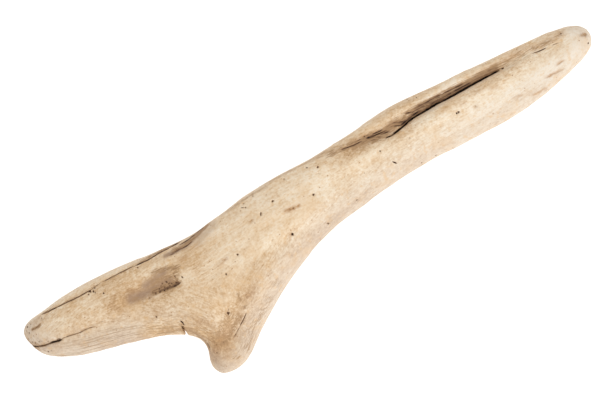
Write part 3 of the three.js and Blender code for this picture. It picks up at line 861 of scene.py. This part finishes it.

# %% Painted shade in the hollows, and grey smudges
SHADES_AND_SMUDGES = [
    # Painted shade in the scoop and other hollows, and grey smudges at the tip, the torn wood and the
    # far edge.
    ([(-32.3, 4.75), (-30, 4.4), (-27.4, 4.2)], 3.5, 3.5, 0.92),
    ([(-28.6, 4.6), (-26.8, 4.5), (-25.6, 4.4)], 3.6, 3.6, 0.9),
    ([(-29.6, 5.4), (-27.6, 5.8), (-25.8, 6)], 2.9, 2.9, 0.85),
    ([(-24.6, 8.15), (-22.5, 8.02), (-20.8, 8.1), (-19.2, 8.5), (-16.8, 9.3)], 1.5, 1.5, 0.9),
    ([(48.6, 8.85), (49.2, 8.65)], 1.6, 1.6, 0.55),
    ([(16, 10.12), (17.2, 9.75), (18.2, 9.4)], 1.7, 1.7, 1.0),
    ([(9.5, 9.8), (12.5, 9.5), (15.5, 9.3)], 3.4, 3.4, 0.4),
    ([(-25.8, -8.4), (-25.6, -10), (-24.8, -11.2)], 2.2, 2.2, 0.2),
    ([(-26.6, -3.6), (-25.6, -5.4), (-25.2, -7)], 2.0, 2.0, 0.25),
    ([(-15.6, 9), (-17.2, 8.4), (-19, 7.6)], 3.4, 3.4, 0.35),
]
print(f"{len(SHADES_AND_SMUDGES)} dull hollows")

# %% Where the wood is paler or darker: bleaching, painted highlight and painted shade
PALER = [  # below 0 is darker
    # Bleaching, with painted highlight on the crests and painted shade on the sides turned from the
    # light, such as the stub's.
    ([(-14, 1), (-6, 3), (2, 5), (8, 6)], 8, 8, 0.5),
    ([(29, 6), (36, 6.2), (42, 6.4), (48, 7.5)], 6, 6, 0.55),
    ([(-22, 6.4), (-19, 7.2)], 5, 5, -0.5),
    ([(47, 10.4), (49, 9.4)], 3, 3, 0.8),
    ([(46.4, 7), (48.6, 8)], 4, 4, 0.9),
    ([(-18, 7.6), (-12, 6.9), (-5, 7.6), (2, 7.6)], 12, 12, 1.45),
    ([(-18, 3.6), (-10, 3.4), (-3, 4)], 7, 7, 0.7),
    ([(-48, 7), (-43, 7.2), (-39, 7.2)], 6.5, 6.5, 1.0),
    ([(-36, 8.1), (-33, 7.6), (-29, 7)], 4.5, 4.5, -0.4),
    ([(-49, 5.2), (-47.6, 4.2), (-46, 3.4)], 5, 5, -1.5),
    ([(-25, -9.6), (-23.8, -11.4), (-21, -10.4), (-18, -8.2)], 5, 5, -0.7),
    ([(-47, 9.8), (-38, 10.1), (-28, 9.6), (-22, 9.5)], 2.8, 2.8, 0.7),
    ([(14, 6.8), (22, 7.2), (30, 7.6), (38, 7), (46, 6.8)], 8, 8, 0.9),
    ([(22, 11.2), (28, 11.2)], 4, 4, 1.6),
    ([(34, 11.2), (44, 11)], 2.5, 2.5, 0.5),
    ([(-24, -9), (-21.6, -7.4), (-18.5, -5), (-15.5, -3.6)], 8, 8, -1.3),
    ([(-14.5, -5.6), (-9.4, -3.2), (-4, -0.9), (2, 0.9)], 4, 4, -1.1),
    ([(-40, 0), (-36, -0.8), (-31, -2), (-28, -2.6), (-26, -4)], 4.5, 4.5, -1.1),
    ([(8, 9.6), (12, 8.9), (18, 8.6)], 5.5, 5.5, -1.2),
    ([(14, 11.9), (20, 12), (25, 11.9)], 3.5, 3.5, -1.2),
    ([(-34.6, 5), (-31, 5.1), (-26, 4.6)], 6.5, 6.5, -1.4),
    ([(9.5, 10.2), (12, 10.1), (16, 10.2)], 4.5, 4.5, -1.1),
    ([(24, 8.6), (30, 8.6), (35, 8.7)], 3.5, 3.5, -0.5),
    ([(34, 10.3), (40, 10.4), (46, 10.1)], 4, 4, -0.2),
    ([(-24.4, -4), (-24, -6), (-23.4, -7.6)], 7, 7, -0.8),
    ([(-7, -0.4), (0, 1.2), (8, 2.2)], 4, 4, -0.8),
    ([(14, 3), (22, 3.6), (33, 4.2)], 4, 4, -0.2),
    ([(28, 4.9), (35, 5.2), (42, 5.6)], 5, 5, 0.6),
]
print(f"{len(PALER)} patches are paler or darker")

# %% Work out each patch on the skin


def strongest(patches):
    """Where patches overlap, the strongest counts."""
    total = np.zeros(len(points))
    for places, left, right, strength in patches:
        total = np.maximum(total, strength * patch(wandering, places, left, right))
    return total


wandering = points[:, :2] + 2.5 * wobble[:, None] * [0.4, 1]
above, below = faces[0][1], faces[1][1]
stain_and_shade = strongest(STAINS_AND_SHADE) * above + strongest(STAINS_BELOW) * below
rusty = strongest(RUSTY) * above
shade_and_smudge = strongest(SHADES_AND_SMUDGES) * above
pale = 0.6 * smooth_step(points[:, 0], -30 * PER_CENT, 30 * PER_CENT)  # painted light: lighter towards the thin end, the side the light comes from
for places, left, right, strength in PALER:
    pale += strength * patch(points, places, left, right) * (0.3 + 0.7 * above)
print(f"{(stain_and_shade > 0.3).mean():.0%} of the points are stained")

# %% Silver with painted sheen, gold and fibres
LINED = [  # places and reach of the stretches where the fibres show as fine lines
    ([(-46, 1.6), (-38, 0.6), (-31, -1.4), (-26.5, -3.6), (-24.6, -6.5)], 8),
    ([(18, 10.4), (26, 10.5), (34, 10.5), (44, 10.2)], 3),
    ([(-20, -10.4), (-17, -7.6), (-11, -3.8)], 4),
]
lined = np.zeros(len(points))
for places, reach in LINED:
    lined = np.maximum(lined, patch(points, places, reach, reach))

# The near half, the two ends and the upright sides have gone silver, but not the crotch. On the
# upright sides and the near edge the silver is partly a painted sheen.
far, near, share = fields
silver_and_sheen = 1 - smooth_step(near[:, 1], 2 * MM, 26 * MM)
silver_and_sheen = np.maximum(silver_and_sheen, smooth_step(np.abs(points[:, 0]), 44.5 * PER_CENT, 49 * PER_CENT))
# painted sheen: the upright sides are made silver by which way they face
silver_and_sheen = np.maximum(silver_and_sheen, 0.8 * smooth_step(-np.abs(normals[:, 2]), -0.7, -0.2))
CROTCH = [(-31, -1.8), (-26, -4), (-24.2, -6.6), (-23.6, -7.6)]
silver_and_sheen *= 1 - patch(points, CROTCH, 12, 12)

# The far half is still golden, and so are two patches in the middle.
golden = smooth_step(near[:, 1], 20 * MM, 42 * MM) * above
for places in ([(-23, 6.6), (-18, 7.4)], [(-9, 5.5), (-5, 5.2), (-1, 5)]):
    golden += 1.2 * patch(points, places, 9, 9)

# Where the fibres of the fork meet they are knotted, and show no clear direction.
KNOTTED = [(-13, 3), (-16, 0), (-19, -3.4), (-21.4, -6.4), (-23.4, -9.6)]
knotted = patch(points, KNOTTED, 10, 10)

ATTRIBUTES = {
    "far_fibres": far, "near_fibres": near, "near_share": share, "stain_and_shade": stain_and_shade, "dirt_and_shade": dirt_and_shade,
    "rusty": rusty, "lined": lined, "pale": pale, "shade_and_smudge": shade_and_smudge, "silver_and_sheen": silver_and_sheen,
    "golden": golden, "knotted": knotted,
}
for name, values in ATTRIBUTES.items():
    store(wood, name, values)
print(f"the skin carries {len(ATTRIBUTES)} attributes")

# %% [markdown]
# ## The look of bleached wood
#
# Three things show at once: broad tan streaks, fine dark and pale fibres, and small specks. All
# are drawn out along the fibres. One node group stretches noise along both fibre fields and
# mixes them, and the material uses it several times at different lengths and widths.

# %% Helpers for nodes


def add(tree, kind, **settings):
    """A new node, with these settings of its own."""
    node = tree.nodes.new(kind)
    for name, value in settings.items():
        setattr(node, name, value)
    return node


def join(tree, source, node, socket):
    """Links one node's output to a socket of another."""
    tree.links.new(source, node.inputs[socket])


def feed(tree, value, node, socket):
    """Gives a socket a number or a colour, or links it to another node's output."""
    if isinstance(value, (int, float)):
        node.inputs[socket].default_value = value
    elif isinstance(value, tuple):
        node.inputs[socket].default_value = (*value, 1)
    else:
        join(tree, value, node, socket)


def math_node(tree, operation, *values):
    """A sum with two or three values, each a number or another node's output."""
    node = add(tree, "ShaderNodeMath", operation=operation)
    for socket, value in enumerate(values):
        feed(tree, value, node, socket)
    return node.outputs[0]


def mix_values(tree, share, a, b):
    """a where the share is 0, b where it is 1. The sockets of a Mix node go by its data type."""
    node = add(tree, "ShaderNodeMix", data_type="FLOAT")
    for socket, value in ((0, share), (2, a), (3, b)):
        feed(tree, value, node, socket)
    return node.outputs[0]


def mix_colours(tree, share, a, b):
    """The same for two colours."""
    node = add(tree, "ShaderNodeMix", data_type="RGBA")
    for socket, value in ((0, share), (6, a), (7, b)):
        feed(tree, value, node, socket)
    return node.outputs[2]


def band(tree, value, low, high):
    """0 below low, 1 above high, and smooth between."""
    node = add(tree, "ShaderNodeMapRange", interpolation_type="SMOOTHSTEP")
    for socket, given in (("Value", value), ("From Min", low), ("From Max", high)):
        feed(tree, given, node, socket)
    return node.outputs["Result"]


print(f"there are {len(bpy.data.materials)} materials so far: {', '.join(bpy.data.materials.keys())}")

# %% A node group for anything drawn out along the fibres
FIBRE_INPUTS = {"Length mm": 30.0, "Width mm": 1.0, "Detail": 2.0, "Seed": 0.0}


def new_group(name, inputs, output):
    """A node group that takes the inputs, given as names and numbers, and puts out one number."""
    group = bpy.data.node_groups.new(name, "ShaderNodeTree")
    for input_name, value in inputs.items():
        socket = group.interface.new_socket(input_name, in_out="INPUT", socket_type="NodeSocketFloat")
        socket.default_value = value
    group.interface.new_socket(output, in_out="OUTPUT", socket_type="NodeSocketFloat")
    return group, group.nodes.new("NodeGroupInput"), group.nodes.new("NodeGroupOutput")


def build_fibre_group():
    """Noise along each fibre field, stretched to a length and a width, and the two mixed."""
    group, given, out = new_group("drawn_out_noise", FIBRE_INPUTS, "Noise")
    along = math_node(group, "DIVIDE", 1000.0, given.outputs["Length mm"])
    across = math_node(group, "DIVIDE", 1000.0, given.outputs["Width mm"])
    scale = add(group, "ShaderNodeCombineXYZ")
    for socket, value in zip("XYZ", (along, across, across)):
        join(group, value, scale, socket)
    fields = []
    for name in ("far_fibres", "near_fibres"):
        field = add(group, "ShaderNodeAttribute", attribute_name=name)
        stretched = add(group, "ShaderNodeVectorMath", operation="MULTIPLY")
        join(group, field.outputs["Vector"], stretched, 0)
        join(group, scale.outputs[0], stretched, 1)
        texture = add(group, "ShaderNodeTexNoise", noise_dimensions="4D")
        join(group, stretched.outputs[0], texture, "Vector")
        join(group, given.outputs["Detail"], texture, "Detail")
        join(group, given.outputs["Seed"], texture, "W")
        texture.inputs["Scale"].default_value = 1
        fields.append(texture.outputs["Fac"])
    near = add(group, "ShaderNodeAttribute", attribute_name="near_share")
    mixed = mix_values(group, near.outputs["Fac"], *fields)
    join(group, mixed, out, "Noise")
    return group


def fibres(tree, *values):
    """The group's noise, for a length and a width in millimetres, a detail and a seed."""
    node = add(tree, "ShaderNodeGroup", node_tree=fibre_group)
    for name, value in zip(FIBRE_INPUTS, values, strict=True):
        node.inputs[name].default_value = value
    return node.outputs["Noise"]


fibre_group = build_fibre_group()
print(f"the group has {len(fibre_group.nodes)} nodes")

# %% [markdown]
# ## The material
#
# Colour is laid on much as the wood got it: the clean tones first, then silver and gold, fine
# lines and pores, dull hollows and rust, and last the stains and the dirt. Each layer is a mask
# and a colour, so each can be changed alone.

# %% Colours
TONES = [  # the wood's own colours, from the darkest fibre to the most bleached
    (0.0, (0.44, 0.25, 0.12)), (0.26, (0.64, 0.43, 0.245)), (0.5, (0.80, 0.61, 0.415)),
    (0.74, (0.915, 0.765, 0.575)), (1.0, (0.965, 0.87, 0.73)),
]
WARM = (0.76, 0.50, 0.26)
STAIN_TAN = (0.43, 0.265, 0.14)
RUST = (0.47, 0.24, 0.09)
# weathered silver grey, also the colour of the painted sheen on the sides
SILVER_AND_SHEEN = (0.70, 0.613, 0.53)
# the grey-brown of painted shade in the hollows, and of smudges
SHADE_AND_SMUDGE_BROWN = (0.375, 0.243, 0.165)
# the brown middle of stains and of painted shade
STAIN_AND_SHADE_BROWN = (0.185, 0.092, 0.045)
LINE_BROWN = (0.20, 0.11, 0.06)
PORE_BROWN = (0.40, 0.20, 0.09)
# painted shade deep in the splits, nearly black
SPLIT_BLACK = (0.018, 0.010, 0.007)
print(f"{len(TONES)} tones of clean wood, from {TONES[0][1]} to {TONES[-1][1]}")

# %% Short names for the layers
bleached_wood = bpy.data.materials.new("bleached_wood")
bleached_wood.use_nodes = True
tree = bleached_wood.node_tree
shader = tree.nodes["Principled BSDF"]


def attribute(name):
    """What store() kept under this name."""
    return add(tree, "ShaderNodeAttribute", attribute_name=name).outputs["Fac"]


def times(a, b):
    return math_node(tree, "MULTIPLY", a, b)


def plus(a, b):
    return math_node(tree, "ADD", a, b)


def swing(value, amount):
    """Noise made to swing round 0 by this amount."""
    return math_node(tree, "MULTIPLY_ADD", value, amount, -amount / 2)


def place_in(texture):
    """Ties a texture to the wood, so that it stays put when the wood is moved."""
    join(tree, add(tree, "ShaderNodeTexCoord").outputs["Object"], texture, "Vector")


def cloud(size_mm, detail, seed):
    """Even noise, the same in all directions."""
    texture = add(tree, "ShaderNodeTexNoise", noise_dimensions="4D")
    place_in(texture)
    texture.inputs["Scale"].default_value = 1000 / size_mm
    texture.inputs["Detail"].default_value = detail
    texture.inputs["W"].default_value = seed
    return texture.outputs["Fac"]


def tones(value):
    """The wood's colour for a value from 0, dark, to 1, bleached."""
    ramp = add(tree, "ShaderNodeValToRGB")
    while len(ramp.color_ramp.elements) < len(TONES):
        ramp.color_ramp.elements.new(0.5)
    for element, (place, colour) in zip(ramp.color_ramp.elements, TONES):
        element.position = place
        element.color = (*colour, 1)
    join(tree, value, ramp, "Fac")
    return ramp.outputs["Color"]


print(f"the empty material has {len(tree.nodes)} nodes")

# %% Clean wood
# Noise drawn out along the fibres: its length and width in millimetres, its detail and its seed.
broad = fibres(tree, 75, 10, 2, 1.0)
mottle = fibres(tree, 12, 4, 3, 3.0)
speckle = fibres(tree, 3.0, 1.4, 3, 4.0)
fine = fibres(tree, 5, 0.6, 2, 5.0)
# Even noise: its size in millimetres, its detail and its seed.
patchy = cloud(26, 2, 2.0)
blotchy = cloud(4.5, 3, 15.0)
grit = cloud(1.3, 2, 11.0)

knots = attribute("knotted")
drawn_out = math_node(tree, "MULTIPLY_ADD", knots, -0.8, 1.0)  # little is left where it is knotted
# how pale the wood is: bleaching, with painted highlight and painted shade
tone = math_node(tree, "MULTIPLY_ADD", attribute("pale"), 0.2, 0.46)
for layer, amount in ((patchy, 0.35), (blotchy, 0.45), (grit, 0.8)):
    tone = plus(tone, swing(layer, amount))
for layer, amount in ((broad, 0.75), (mottle, 0.45), (speckle, 0.8), (fine, 0.75)):
    tone = plus(tone, times(swing(layer, amount), drawn_out))
tone = plus(tone, times(swing(blotchy, 0.5), knots))
colour = tones(tone)
print(f"clean wood takes {len(tree.nodes)} nodes")

# %% Silver with painted sheen, gold and warm patches
# silver grey, partly a painted sheen on the sides and the near edge
colour = mix_colours(tree, times(attribute("silver_and_sheen"), 0.55), colour, SILVER_AND_SHEEN)
colour = mix_colours(tree, times(attribute("golden"), 0.16), colour, WARM)
warm_patches = band(tree, cloud(12, 3, 9.0), 0.5, 0.66)
warm_specks = band(tree, cloud(3, 2, 13.0), 0.56, 0.7)
colour = mix_colours(tree, times(warm_patches, 0.26), colour, WARM)
colour = mix_colours(tree, times(warm_specks, 0.42), colour, WARM)
print(f"with silver and gold there are {len(tree.nodes)}")

# %% Fibre lines and pores
PORE_SPACING = 4  # mm

lines = band(tree, fibres(tree, 26, 0.8, 2, 6.0), 0.5, 0.63)
here_and_there = band(tree, cloud(30, 2, 7.0), 0.45, 0.65)
where_lined = plus(times(attribute("lined"), 0.62), times(here_and_there, 0.16))
colour = mix_colours(tree, times(lines, where_lined), colour, STAIN_TAN)

pore = add(tree, "ShaderNodeTexVoronoi", voronoi_dimensions="3D", feature="F1")
place_in(pore)
pore.inputs["Scale"].default_value = 1000 / PORE_SPACING
pore_chance = add(tree, "ShaderNodeSeparateColor")
join(tree, pore.outputs["Color"], pore_chance, "Color")
pore_dot = band(tree, pore.outputs["Distance"], 0.16, 0.07)
pore_strength = band(tree, pore_chance.outputs["Red"], 0.35, 0.85)  # about a third have none
colour = mix_colours(tree, times(times(pore_dot, pore_strength), 0.75), colour, PORE_BROWN)
print(f"with lines and pores there are {len(tree.nodes)}")

# %% Painted shade in the hollows, grey smudges and rust
# painted shade in the hollows, and grey smudges
shade_and_smudge_mask = times(attribute("shade_and_smudge"), plus(swing(mottle, 1.2), 0.9))
colour = mix_colours(tree, shade_and_smudge_mask, colour, SHADE_AND_SMUDGE_BROWN)

threads = swing(fibres(tree, 22, 0.8, 3, 8.0), 2.2)
rusted = times(attribute("rusty"), plus(threads, 0.85))
colour = mix_colours(tree, rusted, colour, RUST)
print(f"with hollows and rust there are {len(tree.nodes)}")

# %% [markdown]
# A stain has no sharp edge: it creeps along single fibres. So the threads are added to its mask
# before the mask is cut off, first low for the tan rim, then high for the brown middle. The same
# mask carries the painted shade in the trough, along the upper edges and on the stub. Dirt in the
# splits and holes is made the same way, with painted shade in their depths, and is nearly black
# where it is thickest.

# %% Stains and dirt, with painted shade
stain_and_shade_mask = attribute("stain_and_shade")
blotches = swing(cloud(2.5, 3, 12.0), 0.7)
# stains, and painted shade in the trough, along the upper edges and on the stub
spread_stain_and_shade = plus(stain_and_shade_mask, times(plus(threads, blotches), band(tree, stain_and_shade_mask, 0.02, 0.4)))
colour = mix_colours(tree, times(band(tree, spread_stain_and_shade, 0.08, 0.62), 0.92), colour, STAIN_TAN)
colour = mix_colours(tree, times(band(tree, spread_stain_and_shade, 0.6, 1.15), 0.75), colour, STAIN_AND_SHADE_BROWN)

dirt_and_shade_mask = attribute("dirt_and_shade")
ragged_dirt_and_shade = plus(dirt_and_shade_mask, times(swing(speckle, 0.8), band(tree, dirt_and_shade_mask, 0.02, 0.3)))
colour = mix_colours(tree, band(tree, ragged_dirt_and_shade, 0.1, 0.5), colour, LINE_BROWN)
# painted shade: nearly black where the splits and holes are darkest
colour = mix_colours(tree, band(tree, ragged_dirt_and_shade, 0.5, 0.9), colour, SPLIT_BLACK)
join(tree, colour, shader, "Base Color")
print(f"with stains and dirt there are {len(tree.nodes)}")

# %% [markdown]
# Bleached wood is dry, so it hardly shines. The splits, holes and grain are in the mesh. Only the
# finest fibres and the grit come from a Bump node, because they are narrower than the mesh's
# faces or hardly wider.

# %% Roughness and the finest relief
ROUGHNESS = (0.62, 0.86)  # between the fine fibres and on them
RELIEF = 0.45 * MM

roughness = mix_values(tree, fine, *ROUGHNESS)
join(tree, roughness, shader, "Roughness")
shader.inputs["Specular IOR Level"].default_value = 0.3

bump = add(tree, "ShaderNodeBump")
bump.inputs["Strength"].default_value = 0.75
bump.inputs["Distance"].default_value = RELIEF
relief = times(plus(fine, times(speckle, 0.8)), drawn_out)
relief = plus(plus(relief, times(grit, 0.5)), times(lines, times(where_lined, -0.8)))
join(tree, relief, bump, "Height")
join(tree, bump.outputs["Normal"], shader, "Normal")

wood.data.materials.append(bleached_wood)
print(f"with the relief there are {len(tree.nodes)}")

# %% [markdown]
# ## Joining the frame
#
# The skin stands for the frame's solid and rides on its one body. The last numbers compare its
# box with the frame's.

# %% Finish
only(wood)
bpy.ops.object.shade_smooth()
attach(wood, "root")
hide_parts("driftwood")

low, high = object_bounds()
triangles = sum(len(face.vertices) - 2 for face in wood.data.polygons)
print(f"{triangles} triangles; grown by {[round((b - a) / MM, 2) for a, b in zip(cad_high, high)]} mm")
